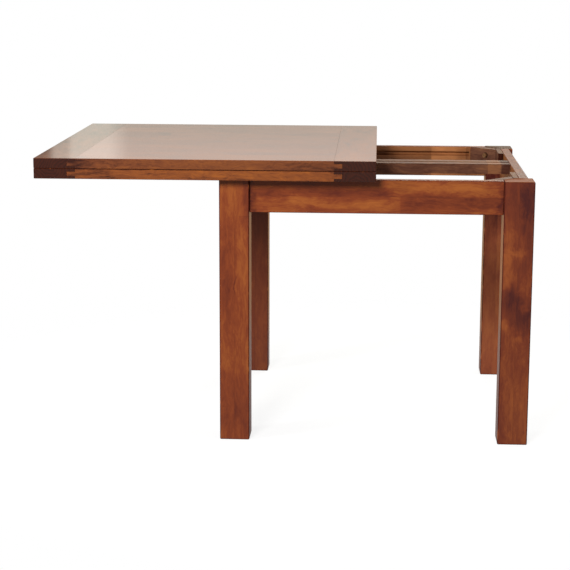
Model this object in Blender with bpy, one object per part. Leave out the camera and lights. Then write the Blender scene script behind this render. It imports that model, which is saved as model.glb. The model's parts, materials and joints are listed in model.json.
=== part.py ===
"""Fold-over extending dining table: a four-legged frame that carries a sliding top of two hinged leaves.

The top stands slid to the left with its leaves folded together. Sliding it to the right centres it on
the frame, and turning the upper leaf over about the hinges lays it on the other half of the frame.
Lengths are in metres: +X along the slide, +Y to the back, +Z up. The origin lies on the floor, under
the middle of the table's box.
"""

import math

import bmesh
import bpy
from mathutils import Matrix, Vector

# The two leaves of the top
TOP_WIDTH = 0.900
TOP_DEPTH = 0.900
LEAF_THICKNESS = 0.027
LEAF_GAP = 0.0003
EDGE_ROUND = 0.0015
HINGE_EDGE_ROUND = 0.003
END_BOARD_WIDTH = 0.110
TONGUE_LENGTH = 0.0215
TONGUE_THICKNESS = 0.0115

# Legs and rails of the frame
OVERHANG = 0.035
FRAME_HEIGHT = 0.714
LEG_SIDE = 0.080
LEG_ROUND = 0.003
RAIL_HEIGHT = 0.090
RAIL_THICKNESS = 0.025
RAIL_SETBACK = 0.012
RAIL_ROUND = 0.0015

# Corner braces, with the blocks that they meet on the end rails and the bolts that hold the legs
BRACE_REACH = 0.090
BRACE_THICKNESS = 0.028
BRACE_HEIGHT = 0.040
BLOCK_LENGTH = 0.122
BLOCK_THICKNESS = 0.0155
BOLT_RADIUS = 0.004
BOLT_GRIP_IN_LEG = 0.045
BOLT_HEAD_ACROSS_FLATS = 0.013
BOLT_HEAD_HEIGHT = 0.0053
WASHER_RADIUS = 0.0085
WASHER_THICKNESS = 0.0016

# Grooved runner along the middle of the frame
RUNNER_WIDTH = 0.092
RUNNER_THICKNESS = 0.028
RUNNER_GROOVE_WIDTH = 0.014
RUNNER_GROOVE_DEPTH = 0.010
RUNNER_TENON_LENGTH = 0.010
RUNNER_TENON_WIDTH = 0.060
RUNNER_TENON_THICKNESS = 0.012

# Slots in the front and back rails, and the blocks under the lower leaf that run in them
SLOT_DROP = 0.015
SLOT_HEIGHT = 0.0135
SLOT_DEPTH = 0.013
SLOT_END_MARGIN = 0.003
SLIDE_BLOCK_WIDTH = 0.030
SLIDE_BLOCK_FOOT = 0.005
SLIDE_FIT = 0.0006
GUIDE_END_GAP = 0.018
GUIDE_FLOOR_GAP = 0.0015

# Wood screws up through the slide blocks and the guide into the lower leaf
SCREW_RADIUS = 0.002
SCREW_HEAD_RADIUS = 0.0042
SCREW_HEAD_HEIGHT = 0.003
SCREW_GRIP = 0.012
SCREW_INSET = 0.025

# Flush hinges let into the meeting faces of the leaves: a plate on each leaf, and a link between two pins
HINGE_PIN_DEPTH = 0.00385
HINGE_PIN_INSET = 0.0032
HINGE_PIN_RADIUS = 0.00125
HINGE_LINK_RADIUS = 0.0029
HINGE_LINK_WIDTH = 0.006
HINGE_CHEEK_WIDTH = 0.0045
HINGE_WALL = 0.0018
HINGE_PLATE_LENGTH = 0.032
HINGE_PLATE_WIDTH = 0.040
HINGE_PLATE_THICKNESS = 0.0022
HINGE_SCREW_RADIUS = 0.0015
HINGE_SCREW_HEAD_RADIUS = 0.003
HINGE_SCREW_HEAD_HEIGHT = 0.0015
HINGE_SCREW_INSET = 0.0065
HINGE_FRONT_SCREW_X = 0.013
HINGE_END_INSET = 0.130

# Clearances and facets
FIT = 0.0003
PIN_FIT = 0.00025
HINGE_BODY_SINK = 0.00005
SOFT_EDGE = 0.001
CUT_MARGIN = 0.004
ROUND_SIDES = 16
ROUND_SEGMENTS = 2
SQUARE_ANGLE = math.radians(60)
NOSE_STEPS = 6

# Sizes that follow from the ones above
BASE_WIDTH = TOP_WIDTH - 2 * OVERHANG
BASE_DEPTH = TOP_DEPTH - 2 * OVERHANG
HINGE_REACH = HINGE_PIN_DEPTH + LEAF_GAP / 2
HINGE_OFFSET = HINGE_REACH - HINGE_PIN_INSET
BASE_X = (TOP_WIDTH + HINGE_OFFSET - BASE_WIDTH / 2) / 2
TRAVEL = TOP_WIDTH / 2
LEAF_BOTTOM = FRAME_HEIGHT + FIT
FOLD_Z = LEAF_BOTTOM + LEAF_THICKNESS + LEAF_GAP / 2
LEG_INNER_X = BASE_WIDTH / 2 - LEG_SIDE
LEG_INNER_Y = BASE_DEPTH / 2 - LEG_SIDE
RAIL_INNER_X = BASE_WIDTH / 2 - RAIL_SETBACK - RAIL_THICKNESS
RAIL_INNER_Y = BASE_DEPTH / 2 - RAIL_SETBACK - RAIL_THICKNESS
RAIL_BOTTOM = FRAME_HEIGHT - RAIL_HEIGHT
BRACE_BOTTOM = FRAME_HEIGHT - BRACE_HEIGHT
BRACE_INNER_SUM = RAIL_INNER_X + RAIL_INNER_Y - BRACE_REACH
BRACE_OUTER_SUM = BRACE_INNER_SUM + BRACE_THICKNESS * math.sqrt(2)
BOLT_Z = FRAME_HEIGHT - BRACE_HEIGHT / 2
BOLT_HOLE_RADIUS = BOLT_RADIUS + FIT
SLOT_TOP = FRAME_HEIGHT - SLOT_DROP
SLOT_BOTTOM = SLOT_TOP - SLOT_HEIGHT
SLOT_HALF_LENGTH = RAIL_INNER_X - BRACE_REACH - SLOT_END_MARGIN
SLIDER_LENGTH = 2 * (SLOT_HALF_LENGTH - FIT) - TRAVEL
GUIDE_LENGTH = 2 * (RAIL_INNER_X - GUIDE_END_GAP) - TRAVEL
SCREW_HOLE_RADIUS = SCREW_RADIUS + FIT
LEAF_EDGE = -HINGE_OFFSET
LEAF_FACE = -LEAF_GAP / 2
HINGE_PLATE_BACK = LEAF_EDGE - HINGE_PLATE_LENGTH
HINGE_PLATE_BOTTOM = LEAF_FACE - HINGE_PLATE_THICKNESS
HINGE_SLOT_DEPTH = HINGE_REACH + HINGE_LINK_RADIUS + FIT
HINGE_BODY_DEPTH = HINGE_SLOT_DEPTH + HINGE_WALL
HINGE_BODY_HALF_WIDTH = HINGE_LINK_WIDTH / 2 + FIT + HINGE_CHEEK_WIDTH

CORNERS = {
    "front_left": (-1, -1),
    "front_right": (1, -1),
    "back_left": (-1, 1),
    "back_right": (1, 1),
}
SIDES = {"front": -1, "back": 1}
ENDS = {"left": -1, "right": 1}
HINGE_PLACES = {
    "front": HINGE_END_INSET - TOP_DEPTH / 2,
    "middle": 0.0,
    "back": TOP_DEPTH / 2 - HINGE_END_INSET,
}


def clear_scene():
    """Removes whatever the file holds before the table is built."""
    for obj in list(bpy.data.objects):
        bpy.data.objects.remove(obj)


def make_material(name, colour, roughness, metallic=0.0):
    """A plain finish in linear colour."""
    material = bpy.data.materials.new(name)
    material.use_nodes = True
    shader = material.node_tree.nodes["Principled BSDF"]
    shader.inputs["Base Color"].default_value = (*colour, 1.0)
    shader.inputs["Roughness"].default_value = roughness
    shader.inputs["Metallic"].default_value = metallic
    return material


def make_materials():
    """The finishes: chestnut-stained hardwood, brass and zinc-plated steel."""
    return {
        "leg": make_material("stained_leg_wood", (0.240, 0.062, 0.025), 0.30),
        "rail": make_material("stained_rail_wood", (0.290, 0.082, 0.027), 0.30),
        "inner": make_material("stained_inner_wood", (0.185, 0.062, 0.030), 0.40),
        "panel": make_material("lacquered_panel_wood", (0.270, 0.080, 0.030), 0.18),
        "end_board": make_material("lacquered_end_board_wood", (0.200, 0.055, 0.026), 0.18),
        "brass": make_material("hinge_brass", (0.560, 0.380, 0.130), 0.35, 1.0),
        "steel": make_material("plated_steel", (0.560, 0.560, 0.570), 0.35, 1.0),
    }


def make_empty(name, location, parent=None):
    """A plain axis that a group of pieces hangs on."""
    empty = bpy.data.objects.new(name, None)
    empty.empty_display_size = 0.05
    empty.location = location
    empty.parent = parent
    bpy.context.scene.collection.objects.link(empty)
    return empty


def rectangle(low_a, high_a, low_b, high_b):
    """The corners of an upright rectangle, anticlockwise."""
    return [(low_a, low_b), (high_a, low_b), (high_a, high_b), (low_a, high_b)]


def prism(outline, low, high, axis):
    """A closed mesh: an outline across an axis, drawn out from low to high along it."""
    place = {
        "X": lambda a, b, along: (along, a, b),
        "Y": lambda a, b, along: (a, along, b),
        "Z": lambda a, b, along: (a, b, along),
    }[axis]
    mesh = bmesh.new()
    face = mesh.faces.new([mesh.verts.new(place(a, b, low)) for a, b in outline])
    drawn = bmesh.ops.extrude_face_region(mesh, geom=[face])["geom"]
    moved = [item for item in drawn if isinstance(item, bmesh.types.BMVert)]
    bmesh.ops.translate(mesh, vec=Vector(place(0, 0, high - low)), verts=moved)
    bmesh.ops.recalc_face_normals(mesh, faces=mesh.faces)
    return mesh


def box(low, high):
    """A closed box between two corners."""
    return prism(rectangle(low[0], high[0], low[1], high[1]), low[2], high[2], "Z")


def rod(radius, low, high, sides=ROUND_SIDES, tip_radius=None):
    """A round bar or cone along Z, between two heights."""
    mesh = bmesh.new()
    bmesh.ops.create_cone(
        mesh,
        cap_ends=True,
        segments=sides,
        radius1=radius,
        radius2=radius if tip_radius is None else tip_radius,
        depth=high - low,
        matrix=Matrix.Translation((0, 0, (low + high) / 2)),
    )
    return mesh


def soften(mesh, radius, wanted=lambda edge: True, segments=ROUND_SEGMENTS):
    """Rounds the edges that are asked for."""
    edges = [edge for edge in mesh.edges if wanted(edge)]
    bmesh.ops.bevel(
        mesh, geom=edges, offset=radius, segments=segments, profile=0.5, affect="EDGES"
    )
    return mesh


def mirrored(mesh, side_x=1, side_y=1, side_z=1):
    """Turns a mesh over across the planes whose sign is negative, with its faces still pointing out."""
    bmesh.ops.scale(mesh, vec=(side_x, side_y, side_z), verts=mesh.verts)
    if side_x * side_y * side_z < 0:
        bmesh.ops.reverse_faces(mesh, faces=mesh.faces)
    return mesh


def turned(mesh, matrix):
    """Moves a mesh by a matrix."""
    bmesh.ops.transform(mesh, matrix=matrix, verts=mesh.verts)
    return mesh


def as_mesh(built, name):
    """Turns an edit mesh into a mesh block."""
    data = bpy.data.meshes.new(name)
    built.to_mesh(data)
    built.free()
    return data


def combined(built, others, operation):
    """One mesh block: a solid with others taken out of it or joined to it."""
    helpers = [bpy.data.objects.new("helper", as_mesh(mesh, "helper")) for mesh in [built, *others]]
    for helper in helpers:
        bpy.context.scene.collection.objects.link(helper)
    body = helpers[0]
    for other in helpers[1:]:
        modifier = body.modifiers.new(operation.lower(), "BOOLEAN")
        modifier.operation = operation
        modifier.object = other
    graph = bpy.context.evaluated_depsgraph_get()
    result = bpy.data.meshes.new_from_object(body.evaluated_get(graph))
    for helper in helpers:
        bpy.data.objects.remove(helper)
    return result


def carved(built, cutters):
    """A solid with every cutter taken out of it, as an edit mesh."""
    return reopened(combined(built, cutters, "DIFFERENCE"))


def joined(built, others):
    """A solid with the others joined to it, as an edit mesh."""
    return reopened(combined(built, others, "UNION"))


def reopened(data):
    """Turns a mesh block back into an edit mesh."""
    mesh = bmesh.new()
    mesh.from_mesh(data)
    bpy.data.meshes.remove(data)
    return mesh


def add_piece(name, built, material, parent, location=(0, 0, 0), smooth_angle=35.0):
    """Adds a piece as a named object with its own finish, hung on its axis."""
    data = built if isinstance(built, bpy.types.Mesh) else as_mesh(built, name)
    data.shade_smooth()
    data.set_sharp_from_angle(angle=math.radians(smooth_angle))
    if not data.materials:
        data.materials.append(material)
    piece = bpy.data.objects.new(name, data)
    piece.location = location
    piece.parent = parent
    bpy.context.scene.collection.objects.link(piece)
    return piece


def diagonal(radius, low, high, **shape):
    """A round bar on a leg bolt's axis: out along the diagonal of the back right corner."""
    middle_x = RAIL_INNER_X - BRACE_REACH / 2
    middle_y = RAIL_INNER_Y - BRACE_REACH / 2
    onto_axis = Matrix.Rotation(math.radians(45), 4, "Z") @ Matrix.Rotation(math.radians(90), 4, "Y")
    return turned(
        rod(radius, low, high, **shape),
        Matrix.Translation((middle_x, middle_y, BOLT_Z)) @ onto_axis,
    )


def build_leg():
    """The back right leg: a square post, cut away inside its top for the brace and its bolt."""
    post = box((LEG_INNER_X, LEG_INNER_Y, 0), (BASE_WIDTH / 2, BASE_DEPTH / 2, FRAME_HEIGHT))
    soften(post, LEG_ROUND)
    seat_sum = BRACE_OUTER_SUM + FIT * math.sqrt(2)
    near_x = LEG_INNER_X - CUT_MARGIN
    near_y = LEG_INNER_Y - CUT_MARGIN
    seat = prism(
        [(near_x, near_y), (seat_sum - near_y, near_y), (near_x, seat_sum - near_x)],
        BRACE_BOTTOM - FIT,
        FRAME_HEIGHT + CUT_MARGIN,
        "Z",
    )
    hole = diagonal(BOLT_HOLE_RADIUS, 0, BRACE_THICKNESS + BOLT_GRIP_IN_LEG + CUT_MARGIN)
    return carved(post, [seat, hole])


def build_brace():
    """The back right corner brace: a bar across the corner, bored for the leg bolt."""
    back = RAIL_INNER_Y - FIT
    end = RAIL_INNER_X - BLOCK_THICKNESS - 2 * FIT
    outline = [
        (BRACE_INNER_SUM - back, back),
        (end, BRACE_INNER_SUM - end),
        (end, BRACE_OUTER_SUM - end),
        (BRACE_OUTER_SUM - back, back),
    ]
    bar = prism(outline, BRACE_BOTTOM, FRAME_HEIGHT, "Z")
    soften(bar, SOFT_EDGE)
    hole = diagonal(BOLT_HOLE_RADIUS, -CUT_MARGIN, BRACE_THICKNESS + CUT_MARGIN)
    return carved(bar, [hole])


def build_block():
    """The block on the right rail that the back right brace ends against."""
    block = box(
        (RAIL_INNER_X - FIT - BLOCK_THICKNESS, LEG_INNER_Y - FIT - BLOCK_LENGTH, BRACE_BOTTOM),
        (RAIL_INNER_X - FIT, LEG_INNER_Y - FIT, FRAME_HEIGHT),
    )
    return soften(block, SOFT_EDGE)


def build_washer():
    """The washer between the brace and the head of the leg bolt."""
    inner = -FIT - WASHER_THICKNESS
    return carved(
        diagonal(WASHER_RADIUS, inner, -FIT, sides=20),
        [diagonal(BOLT_HOLE_RADIUS, inner - CUT_MARGIN, CUT_MARGIN)],
    )


def build_bolt():
    """The hexagon-headed bolt through the brace into the leg."""
    seat = -2 * FIT - WASHER_THICKNESS
    head_radius = BOLT_HEAD_ACROSS_FLATS / math.sqrt(3)
    head = diagonal(head_radius, seat - BOLT_HEAD_HEIGHT, seat, sides=6)
    shank = diagonal(BOLT_RADIUS, seat - BOLT_HEAD_HEIGHT / 2, BRACE_THICKNESS + BOLT_GRIP_IN_LEG)
    return joined(head, [shank])


def build_long_rail(side):
    """The front or back rail, with the stopped slot that the slide block runs in on its inner face."""
    length = LEG_INNER_X - FIT
    rail = box(
        (-length, RAIL_INNER_Y, RAIL_BOTTOM),
        (length, RAIL_INNER_Y + RAIL_THICKNESS, FRAME_HEIGHT),
    )
    soften(rail, RAIL_ROUND)
    slot = box(
        (-SLOT_HALF_LENGTH, RAIL_INNER_Y - CUT_MARGIN, SLOT_BOTTOM),
        (SLOT_HALF_LENGTH, RAIL_INNER_Y + SLOT_DEPTH, SLOT_TOP),
    )
    return mirrored(carved(rail, [slot]), side_y=side)


def build_end_rail(side):
    """The left or right rail, with the mortise that holds the runner's tenon."""
    length = LEG_INNER_Y - FIT
    rail = box(
        (RAIL_INNER_X, -length, RAIL_BOTTOM),
        (RAIL_INNER_X + RAIL_THICKNESS, length, FRAME_HEIGHT),
    )
    soften(rail, RAIL_ROUND)
    middle = FRAME_HEIGHT - RUNNER_THICKNESS / 2 - RUNNER_GROOVE_DEPTH / 2
    half_width = RUNNER_TENON_WIDTH / 2 + FIT
    half_height = RUNNER_TENON_THICKNESS / 2 + FIT
    mortise = box(
        (RAIL_INNER_X - CUT_MARGIN, -half_width, middle - half_height),
        (RAIL_INNER_X + RUNNER_TENON_LENGTH + FIT, half_width, middle + half_height),
    )
    return mirrored(carved(rail, [mortise]), side_x=side)


def build_runner():
    """The runner along the middle of the frame: a flat bar, grooved on top, with a tenon at each end."""
    half = RUNNER_WIDTH / 2
    groove = RUNNER_GROOVE_WIDTH / 2
    floor = FRAME_HEIGHT - RUNNER_GROOVE_DEPTH
    bottom = FRAME_HEIGHT - RUNNER_THICKNESS
    outline = [
        (-half, bottom),
        (half, bottom),
        (half, FRAME_HEIGHT),
        (groove, FRAME_HEIGHT),
        (groove, floor),
        (-groove, floor),
        (-groove, FRAME_HEIGHT),
        (-half, FRAME_HEIGHT),
    ]
    length = RAIL_INNER_X - FIT
    bar = prism(outline, -length, length, "X")
    soften(bar, SOFT_EDGE, lambda edge: abs(edge.verts[0].co.z - edge.verts[1].co.z) < FIT
           and min(vert.co.z for vert in edge.verts) > floor + FIT)
    middle = FRAME_HEIGHT - RUNNER_THICKNESS / 2 - RUNNER_GROOVE_DEPTH / 2
    reach = RAIL_INNER_X + RUNNER_TENON_LENGTH
    tenons = [
        box(
            (min(end * (length - CUT_MARGIN), end * reach), -RUNNER_TENON_WIDTH / 2,
             middle - RUNNER_TENON_THICKNESS / 2),
            (max(end * (length - CUT_MARGIN), end * reach), RUNNER_TENON_WIDTH / 2,
             middle + RUNNER_TENON_THICKNESS / 2),
        )
        for end in ENDS.values()
    ]
    return joined(bar, tenons)


def on_leaf_edge(edge):
    """True for the long edges of a leaf's front and back faces and the outer edges of its end boards."""
    return all(vert.tag for vert in edge.verts)


def build_panel(screw_places):
    """A leaf's glued panel, below the fold axis: boards along X with a tongue at each end."""
    left = -HINGE_OFFSET - TOP_WIDTH + END_BOARD_WIDTH
    right = -HINGE_OFFSET - END_BOARD_WIDTH
    top = -LEAF_GAP / 2
    bottom = top - LEAF_THICKNESS
    middle = (top + bottom) / 2
    tongue = TONGUE_THICKNESS / 2
    outline = [
        (left, bottom),
        (right, bottom),
        (right, middle - tongue),
        (right + TONGUE_LENGTH, middle - tongue),
        (right + TONGUE_LENGTH, middle + tongue),
        (right, middle + tongue),
        (right, top),
        (left, top),
        (left, middle + tongue),
        (left - TONGUE_LENGTH, middle + tongue),
        (left - TONGUE_LENGTH, middle - tongue),
        (left, middle - tongue),
    ]
    panel = prism(outline, -TOP_DEPTH / 2, TOP_DEPTH / 2, "Y")
    for vert in panel.verts:
        vert.tag = abs(vert.co.z - middle) > tongue + FIT
    soften(
        panel,
        EDGE_ROUND,
        lambda edge: on_leaf_edge(edge) and abs(edge.verts[0].co.x - edge.verts[1].co.x) > FIT,
    )
    if not screw_places:
        return panel
    holes = [
        turned(
            rod(SCREW_HOLE_RADIUS, bottom - CUT_MARGIN, bottom + SCREW_GRIP + FIT),
            Matrix.Translation((x, y, 0)),
        )
        for x, y in screw_places
    ]
    return carved(panel, holes)


def hinge_recesses(place):
    """The cuts for half a hinge in a leaf's meeting face: a shallow bed for the plate and a deep one."""
    clear_edge = LEAF_EDGE + CUT_MARGIN
    clear_face = LEAF_FACE + CUT_MARGIN
    half_plate = HINGE_PLATE_WIDTH / 2 + FIT
    half_body = HINGE_BODY_HALF_WIDTH + FIT
    return [
        box(
            (HINGE_PLATE_BACK - FIT, place - half_plate, HINGE_PLATE_BOTTOM - FIT),
            (clear_edge, place + half_plate, clear_face),
        ),
        box(
            (-HINGE_BODY_DEPTH - FIT, place - half_body, -HINGE_BODY_DEPTH - FIT),
            (clear_edge, place + half_body, clear_face),
        ),
    ]


def build_end_board(end):
    """A leaf's end board, below the fold axis, grooved for the tongue and cut for the hinges."""
    outer = -HINGE_OFFSET - (0 if end > 0 else TOP_WIDTH)
    inner = outer - end * (END_BOARD_WIDTH - FIT)
    groove_end = inner + end * (TONGUE_LENGTH + FIT)
    top = -LEAF_GAP / 2
    bottom = top - LEAF_THICKNESS
    middle = (top + bottom) / 2
    groove = TONGUE_THICKNESS / 2 + FIT
    outline = [
        (outer, bottom),
        (outer, top),
        (inner, top),
        (inner, middle + groove),
        (groove_end, middle + groove),
        (groove_end, middle - groove),
        (inner, middle - groove),
        (inner, bottom),
    ]
    board = prism(outline, -TOP_DEPTH / 2, TOP_DEPTH / 2, "Y")

    def turning(edge):
        return all(abs(vert.co.x - outer) < FIT and abs(vert.co.z - top) < FIT for vert in edge.verts)

    def outside(edge):
        along_shoulder = all(abs(vert.co.x - inner) < FIT for vert in edge.verts)
        return on_leaf_edge(edge) and not along_shoulder and edge.calc_face_angle() > SQUARE_ANGLE

    # The leaves turn past each other on the edge over the hinges, which needs a larger round
    if end > 0:
        soften(board, HINGE_EDGE_ROUND, turning)
    for vert in board.verts:
        vert.tag = abs(vert.co.z - middle) > groove + FIT
    soften(board, EDGE_ROUND, outside)
    if end < 0:
        return board
    return carved(board, [cut for place in HINGE_PLACES.values() for cut in hinge_recesses(place)])


def nose(top, bottom, sink=0.0):
    """The leaf's rounded corner between two heights, from its face round to its edge and down."""
    radius = HINGE_EDGE_ROUND - sink
    middle_x = LEAF_EDGE - HINGE_EDGE_ROUND
    middle_z = LEAF_FACE - HINGE_EDGE_ROUND
    start = math.asin(min(1.0, (top - middle_z) / radius))
    stop = math.asin(max(0.0, bottom - middle_z) / radius)
    angles = [start + (stop - start) * step / NOSE_STEPS for step in range(NOSE_STEPS + 1)]
    points = [(middle_x + radius * math.cos(a), middle_z + radius * math.sin(a)) for a in angles]
    if bottom < middle_z:
        points.append((LEAF_EDGE - sink, bottom))
    return points


def across(radius, half_width, height):
    """A round bar along Y on a hinge pin's axis."""
    return turned(
        rod(radius, -half_width, half_width),
        Matrix.Translation((-HINGE_REACH, 0, height)) @ Matrix.Rotation(math.radians(90), 4, "X"),
    )


def hinge_screw_places():
    """Where the screws of a hinge plate stand: two beside the body and one behind it."""
    side = HINGE_PLATE_WIDTH / 2 - HINGE_SCREW_INSET
    front = LEAF_EDGE - HINGE_FRONT_SCREW_X
    return [(front, -side), (front, side), (HINGE_PLATE_BACK + HINGE_SCREW_INSET, 0)]


def build_hinge_half():
    """Half a hinge, below the meeting face: a plate with countersunk holes and a slotted body for a pin."""
    plate = prism(
        [
            (HINGE_PLATE_BACK, HINGE_PLATE_BOTTOM),
            (HINGE_PLATE_BACK, LEAF_FACE),
            *nose(LEAF_FACE, HINGE_PLATE_BOTTOM),
        ],
        -HINGE_PLATE_WIDTH / 2,
        HINGE_PLATE_WIDTH / 2,
        "Y",
    )
    within_plate = LEAF_FACE - HINGE_PLATE_THICKNESS / 2
    body = prism(
        [
            (-HINGE_BODY_DEPTH, -HINGE_BODY_DEPTH),
            (-HINGE_BODY_DEPTH, within_plate),
            *nose(within_plate, -HINGE_BODY_DEPTH, HINGE_BODY_SINK),
        ],
        -HINGE_BODY_HALF_WIDTH,
        HINGE_BODY_HALF_WIDTH,
        "Y",
    )
    half_slot = HINGE_LINK_WIDTH / 2 + FIT
    slot = box(
        (-HINGE_SLOT_DEPTH, -half_slot, -HINGE_SLOT_DEPTH),
        (LEAF_EDGE + CUT_MARGIN, half_slot, LEAF_FACE + CUT_MARGIN),
    )
    bore = across(HINGE_PIN_RADIUS + PIN_FIT, HINGE_BODY_HALF_WIDTH + FIT, -HINGE_REACH)
    slope = (HINGE_SCREW_HEAD_RADIUS - HINGE_SCREW_RADIUS) / HINGE_SCREW_HEAD_HEIGHT
    holes = []
    for x, y in hinge_screw_places():
        shank = rod(HINGE_SCREW_RADIUS, HINGE_PLATE_BOTTOM - CUT_MARGIN, LEAF_FACE)
        head = rod(
            HINGE_SCREW_RADIUS,
            LEAF_FACE - HINGE_SCREW_HEAD_HEIGHT,
            LEAF_FACE + CUT_MARGIN,
            tip_radius=HINGE_SCREW_HEAD_RADIUS + slope * CUT_MARGIN,
        )
        holes += [turned(mesh, Matrix.Translation((x, y, 0))) for mesh in (shank, head)]
    return carved(joined(plate, [body]), [slot, bore, *holes])


def build_hinge_link():
    """The link of a hinge: a flat bar with round ends and a hole at each pin."""
    turn = [math.pi * step / ROUND_SIDES for step in range(ROUND_SIDES + 1)]
    upper = [(math.cos(a), math.sin(a), HINGE_REACH) for a in turn]
    lower = [(-x, -z, -middle) for x, z, middle in upper]
    outline = [
        (HINGE_LINK_RADIUS * x - HINGE_REACH, HINGE_LINK_RADIUS * z + middle)
        for x, z, middle in upper + lower
    ]
    bar = prism(outline, -HINGE_LINK_WIDTH / 2, HINGE_LINK_WIDTH / 2, "Y")
    bores = [
        across(HINGE_PIN_RADIUS + PIN_FIT, HINGE_LINK_WIDTH / 2 + CUT_MARGIN, height)
        for height in (-HINGE_REACH, HINGE_REACH)
    ]
    return carved(bar, bores)


def build_hinge_pin():
    """The pin through the body and the link of a hinge, on the lower leaf's side."""
    return across(HINGE_PIN_RADIUS, HINGE_BODY_HALF_WIDTH, -HINGE_REACH)


def slider_ends():
    """Where a slide block starts and ends along X while the top stands slid to the left."""
    low = -SLOT_HALF_LENGTH + FIT
    return low, low + SLIDER_LENGTH


def guide_ends():
    """Where the centre guide starts and ends along X while the top stands slid to the left."""
    low = -RAIL_INNER_X + GUIDE_END_GAP
    return low, low + GUIDE_LENGTH


def screw_xs(ends):
    """Where the two screws of a part under the leaf stand along X."""
    return ends[0] + SCREW_INSET, ends[1] - SCREW_INSET


def slide_block_middle():
    """The middle of a slide block's body along Y, on the back side."""
    return RAIL_INNER_Y - SLIDE_FIT - SLIDE_BLOCK_WIDTH / 2


def screw_hole(x, y, bottom, top):
    """A cutter for a countersunk screw that comes up from below."""
    shank = rod(SCREW_HOLE_RADIUS, bottom - CUT_MARGIN, top + CUT_MARGIN)
    head = rod(
        SCREW_HEAD_RADIUS + FIT, bottom, bottom + SCREW_HEAD_HEIGHT + FIT, tip_radius=SCREW_HOLE_RADIUS
    )
    mouth = rod(SCREW_HEAD_RADIUS + FIT, bottom - CUT_MARGIN, bottom)
    return [turned(mesh, Matrix.Translation((x, y, 0))) for mesh in (shank, head, mouth)]


def build_slide_block(side):
    """The block under the lower leaf whose tongue runs in a rail's slot."""
    ends = slider_ends()
    face = RAIL_INNER_Y - SLIDE_FIT
    top = LEAF_BOTTOM - FIT
    tongue_top = SLOT_TOP - SLIDE_FIT
    tongue_bottom = SLOT_BOTTOM + SLIDE_FIT
    bottom = tongue_bottom - SLIDE_BLOCK_FOOT
    tip = RAIL_INNER_Y + SLOT_DEPTH - SLIDE_FIT
    outline = [
        (face - SLIDE_BLOCK_WIDTH, bottom),
        (face, bottom),
        (face, tongue_bottom),
        (tip, tongue_bottom),
        (tip, tongue_top),
        (face, tongue_top),
        (face, top),
        (face - SLIDE_BLOCK_WIDTH, top),
    ]
    block = prism(outline, *ends, "X")
    cutters = [
        cutter for x in screw_xs(ends) for cutter in screw_hole(x, slide_block_middle(), bottom, top)
    ]
    return mirrored(carved(block, cutters), side_y=side)


def guide_bottom():
    """The underside of the centre guide, just clear of the floor of the runner's groove."""
    return FRAME_HEIGHT - RUNNER_GROOVE_DEPTH + GUIDE_FLOOR_GAP


def build_centre_guide():
    """The strip under the lower leaf that runs in the centre runner's groove."""
    half = RUNNER_GROOVE_WIDTH / 2 - SLIDE_FIT
    top = LEAF_BOTTOM - FIT
    low, high = guide_ends()
    strip = box((low, -half, guide_bottom()), (high, half, top))
    cutters = [cutter for x in screw_xs((low, high)) for cutter in screw_hole(x, 0, guide_bottom(), top)]
    return carved(strip, cutters)


def build_screw(x, y, bottom):
    """A countersunk wood screw that holds a part up against the lower leaf."""
    head = rod(SCREW_HEAD_RADIUS, bottom, bottom + SCREW_HEAD_HEIGHT, tip_radius=SCREW_RADIUS)
    shank = rod(SCREW_RADIUS, bottom + SCREW_HEAD_HEIGHT / 2, LEAF_BOTTOM + SCREW_GRIP)
    return turned(joined(head, [shank]), Matrix.Translation((x, y, 0)))


def add_frame(finish, frame):
    """Legs, rails, braces, bolts and runner."""
    for corner, (side_x, side_y) in CORNERS.items():
        pieces = {
            "leg": (build_leg(), "leg"),
            "corner_brace": (build_brace(), "inner"),
            "brace_block": (build_block(), "inner"),
            "leg_washer": (build_washer(), "steel"),
            "leg_bolt": (build_bolt(), "steel"),
        }
        for kind, (built, slot) in pieces.items():
            add_piece(f"{kind}_{corner}", mirrored(built, side_x, side_y), finish[slot], frame)
    for name, side in SIDES.items():
        add_piece(f"{name}_rail", build_long_rail(side), finish["rail"], frame)
    for name, side in ENDS.items():
        add_piece(f"{name}_rail", build_end_rail(side), finish["rail"], frame)
    add_piece("centre_runner", build_runner(), finish["inner"], frame)


def add_leaf(prefix, finish, axis, location, side_z, screw_places=()):
    """The panel and the two end boards of one leaf."""
    panel = mirrored(build_panel(screw_places), side_z=side_z)
    add_piece(f"{prefix}_panel", panel, finish["panel"], axis, location)
    for name, end in ENDS.items():
        board = mirrored(build_end_board(end), side_z=side_z)
        add_piece(f"{prefix}_end_board_{name}", board, finish["end_board"], axis, location)


def add_hinges(finish, slide_axis, link_axis, fold_axis):
    """Three hinges: a plate and a pin ride with each leaf, and the link turns on both pins."""
    brass = finish["brass"]
    plates = [as_mesh(mirrored(build_hinge_half(), side_z=side), "hinge_plate") for side in (1, -1)]
    pins = [as_mesh(mirrored(build_hinge_pin(), side_z=side), "hinge_pin") for side in (1, -1)]
    link = as_mesh(build_hinge_link(), "hinge_link")
    for name, place in HINGE_PLACES.items():
        on_slide = (0, place, 0)
        on_link = (HINGE_REACH, place, HINGE_REACH)
        on_fold = (HINGE_REACH, place, -HINGE_REACH)
        add_piece(f"hinge_lower_{name}", plates[0], brass, slide_axis, on_slide)
        add_piece(f"hinge_pin_lower_{name}", pins[0], brass, slide_axis, on_slide)
        add_piece(f"hinge_link_{name}", link, brass, link_axis, on_link)
        add_piece(f"hinge_upper_{name}", plates[1], brass, fold_axis, on_fold)
        add_piece(f"hinge_pin_upper_{name}", pins[1], brass, fold_axis, on_fold)


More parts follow.
